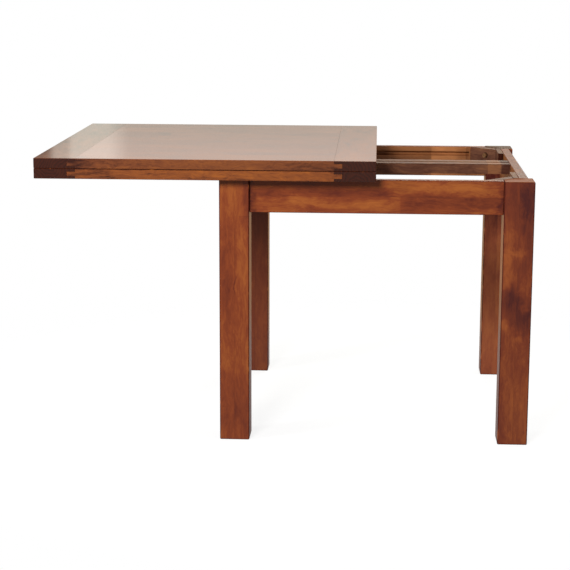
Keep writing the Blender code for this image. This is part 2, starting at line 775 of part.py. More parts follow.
def add_slide(finish, slide_axis):
    """The slide blocks, the centre guide and the screws that hold them under the lower leaf."""
    on_axis = (0, 0, -FOLD_Z)
    block_bottom = SLOT_BOTTOM + SLIDE_FIT - SLIDE_BLOCK_FOOT
    for name, side in SIDES.items():
        add_piece(f"slide_block_{name}", build_slide_block(side), finish["inner"], slide_axis, on_axis)
        for end, x in zip(ENDS, screw_xs(slider_ends())):
            screw = build_screw(x, side * slide_block_middle(), block_bottom)
            add_piece(f"slide_screw_{name}_{end}", screw, finish["steel"], slide_axis, on_axis)
    add_piece("centre_guide", build_centre_guide(), finish["inner"], slide_axis, on_axis)
    for end, x in zip(ENDS, screw_xs(guide_ends())):
        screw = build_screw(x, 0, guide_bottom())
        add_piece(f"guide_screw_{end}", screw, finish["steel"], slide_axis, on_axis)


def leaf_screw_places():
    """Where the screws enter the lower leaf."""
    blocks = [
        (x, side * slide_block_middle()) for side in SIDES.values() for x in screw_xs(slider_ends())
    ]
    return blocks + [(x, 0) for x in screw_xs(guide_ends())]


def main():
    """Builds the table as it stands with its top slid out and folded."""
    clear_scene()
    finish = make_materials()
    frame = make_empty("frame_axis", (BASE_X, 0, 0))
    slide_axis = make_empty("slide_axis", (0, 0, FOLD_Z), frame)
    link_axis = make_empty("link_axis", (-HINGE_REACH, 0, -HINGE_REACH), slide_axis)
    fold_axis = make_empty("fold_axis", (0, 0, 2 * HINGE_REACH), link_axis)
    add_frame(finish, frame)
    add_leaf("lower", finish, slide_axis, (0, 0, 0), 1, leaf_screw_places())
    add_leaf("upper", finish, fold_axis, (HINGE_REACH, 0, -HINGE_REACH), -1)
    add_hinges(finish, slide_axis, link_axis, fold_axis)
    add_slide(finish, slide_axis)


main()
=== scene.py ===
"""The looks of an extending dining table: stained hardwood, brass and steel, in a white studio."""

import json
import logging
import math
from dataclasses import dataclass, field, fields, replace
from enum import Enum
from typing import Any, Iterable

import bmesh
import bpy
from bpy.types import Material, Node, NodeSocket, NodeTree, Object
from mathutils import Euler, Matrix, Vector


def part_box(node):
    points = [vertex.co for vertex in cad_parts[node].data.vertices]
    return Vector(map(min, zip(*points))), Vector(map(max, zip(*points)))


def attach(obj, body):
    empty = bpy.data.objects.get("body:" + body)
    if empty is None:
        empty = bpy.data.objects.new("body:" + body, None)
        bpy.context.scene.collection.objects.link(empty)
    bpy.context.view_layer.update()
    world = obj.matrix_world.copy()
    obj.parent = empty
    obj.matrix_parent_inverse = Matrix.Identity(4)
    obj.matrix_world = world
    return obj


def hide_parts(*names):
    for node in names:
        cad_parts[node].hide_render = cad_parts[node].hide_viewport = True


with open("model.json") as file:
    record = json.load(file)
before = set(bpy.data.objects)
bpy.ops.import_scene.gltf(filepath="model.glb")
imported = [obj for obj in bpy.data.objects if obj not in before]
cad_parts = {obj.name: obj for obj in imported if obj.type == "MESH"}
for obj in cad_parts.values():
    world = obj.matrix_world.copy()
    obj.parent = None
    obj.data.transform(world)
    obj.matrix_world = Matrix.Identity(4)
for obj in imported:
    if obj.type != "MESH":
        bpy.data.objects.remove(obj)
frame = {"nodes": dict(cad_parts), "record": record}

LOG = logging.getLogger("dining_table")
PHOTO_SIDE = 570
MM = 0.001
HALF = (0.5, 0.5, 0.5)
DIAGONAL = 0.70711

# Kinds of node and settings that come up often. Map Range takes its value, the range that it comes from and
# the range that it goes to, 0 to 1 if not given. Mix takes its share as input 0 and its colours as 6 and 7,
# and gives the mixed colour as output 2.
MATH = "ShaderNodeMath"
VECTOR = "ShaderNodeVectorMath"
RANGE = "ShaderNodeMapRange"
MIX = "ShaderNodeMix"
NOISE = "ShaderNodeTexNoise"
SPLIT = "ShaderNodeSeparateXYZ"
JOIN = "ShaderNodeCombineXYZ"
PLACE = "ShaderNodeTexCoord"
MAPPING = "ShaderNodeMapping"
MIX_SHADER = "ShaderNodeMixShader"
PLUS = {"operation": "ADD"}
MINUS = {"operation": "SUBTRACT"}
TIMES = {"operation": "MULTIPLY"}
TIMES_PLUS = {"operation": "MULTIPLY_ADD"}
OVER = {"operation": "DIVIDE"}
LARGER = {"operation": "MAXIMUM"}
SMALLER = {"operation": "MINIMUM"}
WHOLE = {"operation": "FLOOR"}
FRACTION = {"operation": "FRACT"}
UNSIGNED = {"operation": "ABSOLUTE"}
SCALED = {"operation": "SCALE"}
LENGTH = {"operation": "LENGTH"}
SMOOTH = {"interpolation_type": "SMOOTHSTEP"}
COLOUR = {"data_type": "RGBA"}
SOLID = {"noise_dimensions": "3D"}

Settings = dict[str, Any] | None
Inputs = dict[int | str, Any] | tuple[Any, ...]
Triple = tuple[float, float, float]


def linear(code: str) -> tuple[float, float, float, float]:
    """Turns an sRGB hex colour into a linear one.

    Args:
        code: Six hex digits after a hash mark.

    Returns:
        Red, green, blue and alpha for a colour socket.
    """
    parts = [int(code[start : start + 2], 16) / 255 for start in (1, 3, 5)]
    red, green, blue = (p / 12.92 if p <= 0.04045 else ((p + 0.055) / 1.055) ** 2.4 for p in parts)
    return red, green, blue, 1.0


def feed(tree: NodeTree, node: Node, inputs: Inputs) -> None:
    """Sets or links the inputs of a node.

    Args:
        tree: The tree that holds the node.
        node: The node.
        inputs: Values, sockets or nodes, in order or by key; a node stands for its first output.
    """
    for key, value in inputs.items() if isinstance(inputs, dict) else enumerate(inputs):
        if isinstance(value, Node):
            value = value.outputs[0]
        if isinstance(value, NodeSocket):
            tree.links.new(value, node.inputs[key])
        else:
            node.inputs[key].default_value = value


def add(tree: NodeTree, kind: str, settings: Settings = None, inputs: Inputs = ()) -> Node:
    """Adds a node with its settings and links.

    Args:
        tree: The tree that gets the node.
        kind: The node's type name.
        settings: Properties of the node.
        inputs: What feed() takes.

    Returns:
        The new node.
    """
    node = tree.nodes.new(kind)
    for name, value in (settings or {}).items():
        setattr(node, name, value)
    feed(tree, node, inputs)
    return node


def as_label(name: str) -> str:
    """The label of the socket that takes a field's value."""
    return name.replace("_", " ").title()


def stray(tree: NodeTree, point: Any, draw: Any, reach: Triple) -> Node:
    """Moves a point at random.

    Args:
        tree: The tree that gets the nodes.
        point: The point.
        draw: A random colour, from 0 to 1 in each part.
        reach: How far the point strays along each axis, from one end of the draw to the other.

    Returns:
        A node with the moved point.
    """
    step = add(tree, VECTOR, MINUS, (draw, HALF))
    step = add(tree, VECTOR, TIMES, (step, reach))
    return add(tree, VECTOR, PLUS, (point, step))


class Grain(Enum):
    """Which of the table's axes run along, across and through a board."""

    ALONG_X_LEVEL = ((1, 0, 0), (0, 1, 0), (0, 0, 1))
    ALONG_X_UPRIGHT = ((1, 0, 0), (0, 0, 1), (0, -1, 0))
    ALONG_Y_LEVEL = ((0, 1, 0), (-1, 0, 0), (0, 0, 1))
    ALONG_Y_UPRIGHT = ((0, 1, 0), (0, 0, 1), (1, 0, 0))
    ALONG_Z = ((0, 0, 1), (1, 0, 0), (0, 1, 0))
    DIAGONAL_RISING = ((DIAGONAL, DIAGONAL, 0), (0, 0, 1), (DIAGONAL, -DIAGONAL, 0))
    DIAGONAL_FALLING = ((DIAGONAL, -DIAGONAL, 0), (0, 0, 1), (-DIAGONAL, -DIAGONAL, 0))

    def turn(self) -> Euler:
        """The rotation that brings a point of the table into the board's own axes."""
        return Matrix(self.value).to_euler()


class NodeGroup:
    """A node group with named inputs and outputs."""

    INPUTS: dict[str, str] = {}
    OUTPUTS: dict[str, str] = {}

    def __init__(self, name: str, kind: str) -> None:
        """Makes the group with its sockets, and fills it.

        Args:
            name: The group's name.
            kind: The type of its tree.
        """
        self.tree = bpy.data.node_groups.new(name, kind)
        self.identifiers: dict[str, str] = {}
        for direction, sockets in (("INPUT", self.INPUTS), ("OUTPUT", self.OUTPUTS)):
            for label, socket_kind in sockets.items():
                socket = self.tree.interface.new_socket(label, in_out=direction, socket_type=socket_kind)
                self.identifiers[label] = socket.identifier
        self.given = self.add("NodeGroupInput").outputs
        self.build()

    def add(self, kind: str, settings: Settings = None, inputs: Inputs = ()) -> Node:
        """Adds a node to the group."""
        return add(self.tree, kind, settings, inputs)

    def build(self) -> None:
        """Fills the group."""
        raise NotImplementedError


@dataclass(frozen=True)
class Layer:
    """One layer of the wood's figure: the length and width of its features, and their finer detail."""

    length: float
    width: float
    detail: float = 2.0
    rough: float = 0.5


class GrainPattern(NodeGroup):
    """The figure of boards glued up from short blocks, as one node group that every wooden piece shares.

    The group takes a point and a facing in the board's own axes, X along the grain, and works in metres. Its
    fibres and pores are wider than real ones, so that they show.
    """

    INPUTS = {
        **dict.fromkeys(("Point", "Facing"), "NodeSocketVector"),
        **dict.fromkeys(("Dark", "Mid", "Light", "End", "Bare"), "NodeSocketColor"),
        **dict.fromkeys(("Seed", "Strip Width", "Block Length", "Block Spread"), "NodeSocketFloat"),
        **dict.fromkeys(("Figure", "Patch Tone", "Bare Tone", "Bare Side", "Clean Side"), "NodeSocketFloat"),
        **dict.fromkeys(("Satin", "Polish", "End Dullness"), "NodeSocketFloat"),
    }
    OUTPUTS = {"Color": "NodeSocketColor", "Roughness": "NodeSocketFloat", "Height": "NodeSocketFloat"}

    # Features of the figure, along and across the grain
    DRIFT = Layer(420 * MM, 110 * MM, detail=1.0)
    MOTTLE = Layer(74 * MM, 24 * MM, detail=3.0, rough=0.62)
    STREAK = Layer(190 * MM, 6 * MM)
    FLECK = Layer(15 * MM, 3.6 * MM, detail=1.0, rough=0.6)
    FIBRE = Layer(42 * MM, 1.6 * MM, rough=0.6)
    PORE = Layer(16 * MM, 1.1 * MM, detail=1.0)
    NICK = Layer(38 * MM, 12 * MM)
    SWAY = Layer(110 * MM, 48 * MM)
    RING_BEND = Layer(180 * MM, 45 * MM)

    # How far the figure, the rings and their pith stray
    SWAY_REACH = (150 * MM, 48 * MM, 48 * MM)
    RING_BEND_REACH = (0, 34 * MM, 34 * MM)
    PITH_REACH = (0, 110 * MM, 150 * MM)
    RING_WIDTH = 8.5 * MM

    # How far apart the blocks' wood is taken, and the glue line between them
    BLOCK_SHIFT = 7.0
    GLUE_LINE = (0.2 * MM, 0.7 * MM, 1.0, 0.0)

    # Where each part of the pattern sets in and where it is full
    LATE_WOOD = (0.25, 0.95)
    OPEN_PORE = (0.62, 0.72)
    WORN_NICK = (0.6, 0.7)
    END_GRAIN = (0.45, 0.85)
    FLAT_FACE = (0.98, 0.999)
    ARRIS = (0.997, 0.96, 0.0, 0.92)
    STAINED_SIDE = (0.0, 0.2, 1.0, 0.0)
    BARE_FACE = (0.6, 0.95, 0.0, 0.75)

    # What the pattern does to the stain, the shine and the relief
    DARK_TO_MID = (-0.45, 0.0)
    MID_TO_LIGHT = (0.0, 0.4)
    END_SOAK = (0.3, 0.7, 1.0, 0.97)
    END_RINGS = (0.0, 1.0, 1.3, 0.72)
    GLUE_SHADE = (0.0, 1.0, 1.0, 0.8)
    UNEVEN_SATIN = (0.25, 0.75, -0.02, 0.02)
    ARRIS_DULLNESS = 0.7
    PORE_DEPTH = -0.8
    GLUE_DEPTH = -1.2

    def blocks(self) -> dict[str, Any]:
        """Splits the board into strips and staggered blocks.

        Returns:
            The random draw, tone and glue line of the block that holds the point, and the point's place off
            the middle of the strip and through the board.
        """
        given = self.given
        along, across, through = self.add(SPLIT, inputs=(given["Point"],)).outputs
        row = self.add(MATH, OVER, (across, given["Strip Width"]))
        strip = self.add(MATH, WHOLE, (row,))
        in_strip = self.add(MATH, FRACTION, (row,))
        strip_key = self.add(JOIN, inputs=(strip, given["Seed"], 0.5))
        stagger = self.add("ShaderNodeTexWhiteNoise", SOLID, {"Vector": strip_key}).outputs["Value"]
        run = self.add(MATH, OVER, (along, given["Block Length"]))
        run = self.add(MATH, PLUS, (run, stagger))
        block = self.add(MATH, WHOLE, (run,))
        in_block = self.add(MATH, FRACTION, (run,))
        block_key = self.add(JOIN, inputs=(strip, block, given["Seed"]))
        draw = self.add("ShaderNodeTexWhiteNoise", SOLID, {"Vector": block_key})
        lines = []
        for place, size in ((in_strip, given["Strip Width"]), (in_block, given["Block Length"])):
            rest = self.add(MATH, MINUS, (1.0, place))
            near = self.add(MATH, SMALLER, (place, rest))
            gap = self.add(MATH, TIMES, (near, size))
            lines.append(self.add(RANGE, SMOOTH, (gap, *self.GLUE_LINE)))
        glue = self.add(MATH, LARGER, (lines[0], lines[1]))
        middle = self.add(MATH, MINUS, (in_strip, 0.5))
        off_middle = self.add(MATH, TIMES, (middle, given["Strip Width"]))
        return {
            "draw": draw.outputs["Color"],
            "tone": draw.outputs["Value"],
            "glue": glue,
            "aside": off_middle,
            "through": through,
        }

    def figure(self, point: Any, layer: Layer) -> Node:
        """One layer of the wood's figure, drawn out along the grain.

        Args:
            point: Where the layer is read, in the block's own wood.
            layer: The size of its features.

        Returns:
            The layer's node.
        """
        stretch = (1 / layer.length, 1 / layer.width, 1 / layer.width)
        drawn_out = self.add(VECTOR, TIMES, (point, stretch))
        inputs = {"Vector": drawn_out, "Scale": 1.0, "Detail": layer.detail, "Roughness": layer.rough}
        return self.add(NOISE, SOLID, inputs)

    def rings(self, wood: Any, block: dict[str, Any]) -> Node:
        """Growth rings about a pith that lies somewhere beside each block, bent along the board.

        Args:
            wood: The point in the block's own wood.
            block: What blocks() gave.

        Returns:
            A node that is 0 in early wood and 1 in late wood.
        """
        local = self.add(JOIN, inputs=(0.0, block["aside"], block["through"]))
        from_pith = stray(self.tree, local, block["draw"], self.PITH_REACH)
        bend = self.figure(wood, self.RING_BEND).outputs["Color"]
        from_pith = stray(self.tree, from_pith, bend, self.RING_BEND_REACH)
        radius = self.add(VECTOR, LENGTH, (from_pith,)).outputs["Value"]
        turns = self.add(MATH, OVER, (radius, self.RING_WIDTH))
        ring = self.add(MATH, FRACTION, (turns,))
        return self.add(RANGE, SMOOTH, (ring, *self.LATE_WOOD))

    def build(self) -> None:
        """Fills the group."""
        given = self.given
        block = self.blocks()
        shift = self.add(VECTOR, SCALED, {0: block["draw"], "Scale": self.BLOCK_SHIFT})
        wood = self.add(VECTOR, PLUS, (given["Point"], shift))

        # The fibres sway, which draws the stain out into wavy, flame-like patches
        wavy = stray(self.tree, wood, self.figure(wood, self.SWAY).outputs["Color"], self.SWAY_REACH)
        mottle = self.figure(wavy, self.MOTTLE)
        fibre = self.figure(wood, self.FIBRE)
        late = self.rings(wood, block)
        pores = self.add(RANGE, SMOOTH, (self.figure(wood, self.PORE), *self.OPEN_PORE))

        # The stain takes unevenly: each layer of the figure moves the tone up or down from the middle. The
        # patches' tone joins in, and some patches are painted light or shade
        base = self.add(MATH, MINUS, (block["tone"], 0.5))
        base = self.add(MATH, TIMES_PLUS, (base, given["Block Spread"], given["Patch Tone"]))
        tone: Any = 0.0
        for layer, share, rest in (
            (self.figure(wood, self.DRIFT), 0.7, 0.5),
            (mottle, 1.05, 0.5),
            (self.figure(wavy, self.STREAK), 0.4, 0.5),
            (self.figure(wavy, self.FLECK), 0.5, 0.5),
            (fibre, 0.16, 0.5),
            (late, -0.1, 0.4),
            (pores, -0.08, 0.0),
        ):
            middle = self.add(MATH, MINUS, (layer, rest))
            tone = self.add(MATH, TIMES_PLUS, (middle, share, tone))
        tone = self.add(MATH, TIMES_PLUS, (tone, given["Figure"], base))
        low = self.add(RANGE, inputs=(tone, *self.DARK_TO_MID))
        high = self.add(RANGE, inputs=(tone, *self.MID_TO_LIGHT))
        colour = self.add(MIX, COLOUR, {0: low, 6: given["Dark"], 7: given["Mid"]})
        colour = self.add(MIX, COLOUR, {0: high, 6: colour.outputs[2], 7: given["Light"]})

        # Stain gathers along the arrises, knocks wear it off again, and end grain drinks most of it. On the
        # leaves, the arrises where they meet are darkened as painted shade in the groove between them
        facing = self.add(VECTOR, UNSIGNED, (given["Facing"],))
        ahead, aside, upward = self.add(SPLIT, inputs=(facing,)).outputs
        end = self.add(RANGE, SMOOTH, (ahead, *self.END_GRAIN))
        broadest = self.add(MATH, LARGER, (ahead, aside))
        broadest = self.add(MATH, LARGER, (broadest, upward))
        arris = self.add(RANGE, SMOOTH, (broadest, *self.ARRIS))
        through = self.add(SPLIT, inputs=(given["Facing"],)).outputs[2]
        toward_unshaded = self.add(MATH, TIMES, (through, given["Clean Side"]))
        stain_and_shade_side = self.add(RANGE, inputs=(toward_unshaded, *self.STAINED_SIDE))
        nick = self.add(RANGE, SMOOTH, (self.figure(wood, self.NICK), *self.WORN_NICK))
        worn = self.add(MATH, TIMES, (arris, nick))
        arris = self.add(MATH, TIMES, (arris, stain_and_shade_side))
        soak = self.add(RANGE, inputs=(mottle, *self.END_SOAK))
        soak = self.add(MATH, TIMES, (end, soak))
        growth = self.add(RANGE, inputs=(late, *self.END_RINGS))
        ringed = self.add(VECTOR, SCALED, {0: given["End"], "Scale": growth})
        for share, stain in ((arris, given["Dark"]), (worn, given["Light"]), (soak, ringed)):
            colour = self.add(MIX, COLOUR, {0: share, 6: colour.outputs[2], 7: stain})

        # The side of a rail that faces the inside of the frame got little stain; patches of painted light and
        # shade brighten or darken it
        inside = self.add(MATH, TIMES, (through, given["Bare Side"]))
        inside = self.add(RANGE, SMOOTH, (inside, *self.BARE_FACE))
        paler = self.add(MATH, PLUS, (tone, given["Bare Tone"]))
        paler = self.add(MATH, PLUS, (paler, 1.0))
        bare = self.add(VECTOR, SCALED, {0: given["Bare"], "Scale": paler})
        colour = self.add(MIX, COLOUR, {0: inside, 6: colour.outputs[2], 7: bare})
        shade = self.add(RANGE, inputs=(block["glue"], *self.GLUE_SHADE))
        colour = self.add(VECTOR, SCALED, {0: colour.outputs[2], "Scale": shade})

        # The lacquer is polished on broad level faces, and dull along the arrises
        rough = self.add(RANGE, inputs=(mottle, *self.UNEVEN_SATIN))
        rough = self.add(MATH, PLUS, (rough, given["Satin"]))
        broad = self.add(RANGE, SMOOTH, (upward, *self.FLAT_FACE))
        shine = self.add(MATH, TIMES, (broad, given["Polish"]))
        rough = self.add(MATH, MINUS, (rough, shine))
        rough = self.add(MATH, TIMES_PLUS, (arris, self.ARRIS_DULLNESS, rough))
        rough = self.add(MATH, TIMES_PLUS, (end, given["End Dullness"], rough))
        height = self.add(MATH, TIMES_PLUS, (pores, self.PORE_DEPTH, fibre))
        height = self.add(MATH, TIMES_PLUS, (block["glue"], self.GLUE_DEPTH, height))
        self.add("NodeGroupOutput", inputs={"Color": colour, "Roughness": rough, "Height": height})


@dataclass(frozen=True)
class Patch:
    """A patch of darker or paler wood: heartwood, a knot, uneven stain or, with square edges, a block; some
    patches are painted light or shade.
    """

    along: float
    across: float
    half_length: float
    half_width: float
    shift: float
    square: bool = False

    # Where the patch ends: softly all round, or at once along the grain and softly across it
    SOFT_EDGE = (0.1, 1.5)
    END_EDGE = (0.99, 1.01)
    SIDE_EDGE = (0.85, 1.15)
    ANY_DEPTH = 1000.0

    def tone(self, tree: NodeTree, point: Any, tone: Any) -> Node:
        """Adds the patch to the wood's tone.

        Args:
            tree: The material that gets the nodes.
            point: The point in the board's own axes.
            tone: The tone so far.

        Returns:
            A node with the new tone.
        """
        middle = (self.along, self.across, 0)
        size = (self.half_length, self.half_width, self.ANY_DEPTH)
        inputs = {"Vector": point, "Location": middle, "Scale": size}
        near = add(tree, MAPPING, {"vector_type": "TEXTURE"}, inputs)
        if self.square:
            near = add(tree, VECTOR, UNSIGNED, (near,))
            ahead, aside, _ = add(tree, SPLIT, inputs=(near,)).outputs
            within = add(tree, RANGE, SMOOTH, (ahead, *self.END_EDGE, self.shift, 0.0))
            share = add(tree, RANGE, SMOOTH, (aside, *self.SIDE_EDGE, within, 0.0))
        else:
            reach = add(tree, VECTOR, LENGTH, (near,)).outputs["Value"]
            share = add(tree, RANGE, SMOOTH, (reach, *self.SOFT_EDGE, self.shift, 0.0))
        return add(tree, MATH, PLUS, (share, tone))


@dataclass(frozen=True)
class StainedHardwood:
    """Hardwood blocks glued into boards, stained chestnut and lacquered.

    The stain leaves orange and red-brown patches side by side, and the lacquer mirrors the room at low
    angles.
    """

    dark: str = "#501c14"
    mid: str = "#7f3b1e"
    light: str = "#a15a29"
    end: str = "#2e0e06"
    end_dullness: float = 0.0
    bare: str = "#a06a40"
    bare_side: float = 0.0
    # Which face's arrises are kept free of the painted groove shade: 1 the top face, -1 the bottom, 0 none
    clean_side: float = 0.0
    strip_width: float = 45 * MM
    block_length: float = 420 * MM
    block_spread: float = 0.2
    lacquer_ior: float = 1.42
    satin: float = 0.46
    polish: float = 0.0
    fibre_relief: float = 0.03
    relief_depth: float = 0.4 * MM
    droop: float = 0.0
    figure: float = 1.0
    patches: tuple[Patch, ...] = ()
    # Patches of painted light and shade on the bare side
    bare_patches: tuple[Patch, ...] = ()
    ragged_size: float = 30 * MM
    ragged_reach: Triple = (60 * MM, 24 * MM, 0.0)

    def material(self, name: str, pattern: NodeTree, grain: Grain, seed: float, middle: Vector) -> Material:
        """Makes the finish for one piece.

        Args:
            name: The piece's name.
            pattern: The shared grain group.
            grain: How the piece was cut.
            seed: Which boards it was cut from.
            middle: The point that the strips are centred on, in the table's axes.

        Returns:
            The material.
        """
        material = bpy.data.materials.new(f"stained_hardwood_{name}")
        material.use_nodes = True
        tree = material.node_tree
        place = add(tree, PLACE).outputs
        turn = grain.turn()
        centre = -(turn.to_matrix() @ middle)
        inputs = {"Vector": place["Object"], "Rotation": turn, "Location": centre}
        point = add(tree, MAPPING, {"vector_type": "POINT"}, inputs)
        inputs = {"Vector": place["Normal"], "Rotation": turn}
        facing = add(tree, MAPPING, {"vector_type": "VECTOR"}, inputs)
        inputs = {"Point": point, "Facing": facing, "Seed": seed, "Patch Tone": 0.0, "Bare Tone": 0.0}
        for item in fields(self):
            label, value = as_label(item.name), getattr(self, item.name)
            if label in GrainPattern.INPUTS:
                inputs[label] = linear(value) if isinstance(value, str) else value
        ragged = self.ragged_point(tree, point) if self.patches else point
        for spot in self.patches:
            inputs["Patch Tone"] = spot.tone(tree, point if spot.square else ragged, inputs["Patch Tone"])
        for spot in self.bare_patches:
            inputs["Bare Tone"] = spot.tone(tree, point, inputs["Bare Tone"])
        wood = add(tree, "ShaderNodeGroup", {"node_tree": pattern}, inputs).outputs
        inputs = {"Strength": self.fibre_relief, "Distance": self.relief_depth, "Height": wood["Height"]}
        normal = add(tree, "ShaderNodeBump", inputs=inputs)
        if self.droop:
            space = {"vector_type": "VECTOR", "convert_from": "OBJECT", "convert_to": "WORLD"}
            tip = add(tree, "ShaderNodeVectorTransform", space, ((0, self.droop, 0),))
            normal = add(tree, VECTOR, PLUS, (normal, tip))
        inputs = {"Base Color": wood["Color"], "Roughness": wood["Roughness"], "Normal": normal}
        feed(tree, tree.nodes["Principled BSDF"], inputs | {"IOR": self.lacquer_ior})
        return material

    def ragged_point(self, tree: NodeTree, point: Any) -> Node:
        """Moves the point a little at random, so that the patches get ragged outlines."""
        rough = add(tree, NOISE, inputs={"Vector": point, "Scale": 1 / self.ragged_size, "Detail": 2.0})
        return stray(tree, point, rough.outputs["Color"], self.ragged_reach)


@dataclass(frozen=True)
class WorkedMetal:
    """Metal with a fine rubbed grain.

    The rubbing breaks up its reflections, and handling leaves duller, darker patches. The rubbed lines are
    wider than real ones, so that they show.
    """

    name: str
    colour: str
    dull_colour: str
    roughness: float
    dull_roughness: float
    scratch_length: float = 22 * MM
    scratch_width: float = 0.8 * MM
    scratch_depth: float = 0.05 * MM
    scratch_relief: float = 0.12
    patch_size: float = 14 * MM

    DULL = (0.4, 0.68)

    def material(self) -> Material:
        """Makes the finish.

        Returns:
            The material.
        """
        material = bpy.data.materials.new(self.name)
        material.use_nodes = True
        tree = material.node_tree
        place = add(tree, PLACE).outputs["Object"]
        inputs = {"Vector": place, "Scale": 1 / self.patch_size, "Detail": 3.0, "Roughness": 0.6}
        dull = add(tree, RANGE, inputs=(add(tree, NOISE, inputs=inputs), *self.DULL))
        stretch = (1 / self.scratch_width, 1 / self.scratch_length, 1 / self.scratch_width)
        along = add(tree, VECTOR, TIMES, (place, stretch))
        scratch = add(tree, NOISE, inputs={"Vector": along, "Scale": 1.0, "Detail": 2.0})
        colour = add(tree, MIX, COLOUR, {0: dull, 6: linear(self.colour), 7: linear(self.dull_colour)})
        rough = add(tree, RANGE, inputs=(dull, 0.0, 1.0, self.roughness, self.dull_roughness))
        inputs = {"Strength": self.scratch_relief, "Distance": self.scratch_depth, "Height": scratch}
        relief = add(tree, "ShaderNodeBump", inputs=inputs)
        inputs = {"Base Color": colour.outputs[2], "Roughness": rough, "Normal": relief, "Metallic": 1.0}
        feed(tree, tree.nodes["Principled BSDF"], inputs)
        return material


# Pressed brass, rubbed to a satin: a warm, soft shine
SATIN_BRASS = WorkedMetal("satin_brass", "#c9a35a", "#8d6a35", roughness=0.24, dull_roughness=0.42)
# Steel under zinc plating: pale and cool, with greyer patches
ZINC_STEEL = WorkedMetal("zinc_plated_steel", "#b9b6ae", "#857c70", roughness=0.28, dull_roughness=0.5)
# Steel with a yellow passivated coat: a dull, brownish gold
YELLOW_STEEL = WorkedMetal(
    "yellow_passivated_steel", "#b8926c", "#92704e", roughness=0.45, dull_roughness=0.65
)
# Steel blackened in oil: dark, with little shine
BLACK_STEEL = WorkedMetal("oil_blackened_steel", "#6e5a4a", "#4c3c30", roughness=0.5, dull_roughness=0.65)


def patch(
    along: float, across: float, half_length: float, half_width: float, shift: float, square: bool = False
) -> Patch:
    """A patch with its place and size in millimetres."""
    return Patch(along * MM, across * MM, half_length * MM, half_width * MM, shift, square)


# Longer than any board of the table, so that joints between blocks are rare
ONE_BLOCK = 3000 * MM
# The legs have a quiet figure, and end grain that took less stain
LEG_WOOD = StainedHardwood(
    end="#7c4428",
    end_dullness=0.3,
    strip_width=40 * MM,
    block_length=ONE_BLOCK,
    block_spread=0.1,
    lacquer_ior=1.38,
    satin=0.36,
    figure=0.6,
)
LEG_WOODS = {
    "front_left": replace(
        LEG_WOOD,
        patches=(
            patch(299, 36, 66, 12, -0.3),
            patch(327, -10, 80, 26, 0.12),
            patch(91, -20, 120, 17, -0.16),
            patch(119, 20, 85, 14, 0.2),
            patch(72, 2, 34, 2, -0.35),
            patch(-140, 0, 34, 48, 0.1),
            patch(-270, 0, 120, 42, -0.16),
        ),
    ),
    "front_right": replace(
        LEG_WOOD,
        dark="#461a17",
        mid="#72331d",
        light="#964f27",
        patches=(
            patch(290, 26, 130, 20, -0.32),
            patch(330, -4, 90, 50, -0.14),
            patch(140, -27, 90, 14, 0.34),
            patch(166, 2, 9, 30, 0.22),
            patch(44, -15, 34, 30, -0.38),
            patch(-8, 14, 44, 36, -0.33),
            patch(-240, 0, 150, 60, 0.14),
            patch(-28, -30, 18, 12, 0.3),
            patch(-58, 8, 12, 20, 0.2),
            patch(24, 20, 8, 18, 0.2),
            patch(-270, 32, 110, 12, 0.2),
            patch(-285, -34, 110, 12, -0.16),
        ),
    ),
    "back_left": replace(LEG_WOOD, mid="#6e3520", light="#8c4a28", figure=0.5),
    "back_right": replace(
        LEG_WOOD,
        end="#4c3220",
        mid="#8c472c",
        light="#a65e36",
        # The dark patch over the upper leg is painted shade under the rail and the top
        patches=(patch(250, 0, 170, 140, -0.42), patch(40, 10, 60, 30, 0.2), patch(-190, -10, 150, 50, 0.18)),
    ),
}
# The rails mirror less than the leaves
RAIL_WOOD = StainedHardwood(block_length=520 * MM, lacquer_ior=1.38, satin=0.36)
FRONT_RAIL_WOOD = replace(
    RAIL_WOOD,
    bare_side=-1.0,
    block_length=ONE_BLOCK,
    block_spread=0.1,
    figure=0.7,
    patches=(
        patch(-205, -15, 52, 15, 0.3),
        patch(-79, -23, 105, 12, 0.2),
        patch(-270, 7, 44, 17, -0.16),
        patch(-262, -21, 34, 13, -0.14),
        patch(-97, 9, 125, 13, -0.13),
        patch(107, 28, 130, 18, 0.34),
        patch(245, 22, 85, 17, 0.26),
        # Painted shadow of the top's right end
        patch(20, 9, 32, 16, -0.24),
        patch(180, -17, 150, 22, -0.12),
        patch(214, -22, 150, 24, -0.1, square=True),
        patch(24, -24, 48, 16, 0.16),
        patch(289, -40, 46, 8, 0.2),
        # Painted shade at both ends of the rail, beside the legs
        patch(-331, 0, 12, 90, -0.3),
        patch(331, 0, 12, 90, -0.3),
    ),
)
# Inside, the back rail gets painted light and shade: a lit patch, a long band of painted shadow, a small
# painted highlight and painted shade beside the corner brace
BACK_RAIL_WOOD = replace(
    RAIL_WOOD,
    bare_side=1.0,
    figure=0.6,
    bare_patches=(
        patch(222, 0, 53, 70, 0.42, square=True),
        patch(-117, -16, 286, 31, -0.4, square=True),
        patch(193, 38, 18, 9, 0.4),
        patch(268, 0, 24, 90, -0.5),
    ),
)
LEFT_RAIL_WOOD = replace(RAIL_WOOD, bare_side=1.0)
RIGHT_RAIL_WOOD = replace(RAIL_WOOD, bare_side=-1.0)
# Inside the frame the wood has a thin brown stain and hardly any lacquer
INNER_WOOD = StainedHardwood(dark="#46281e", mid="#644030", light="#7e563c", lacquer_ior=1.3, satin=0.58)
# The runner's face gets a painted pool of light near its right end, and painted shadow of the corner brace at
# the end itself
RUNNER_WOOD = replace(
    INNER_WOOD,
    light="#86583a",
    patches=(patch(334, 0, 19, 400, 0.34, square=True), patch(374, 0, 20, 400, -0.5)),
)
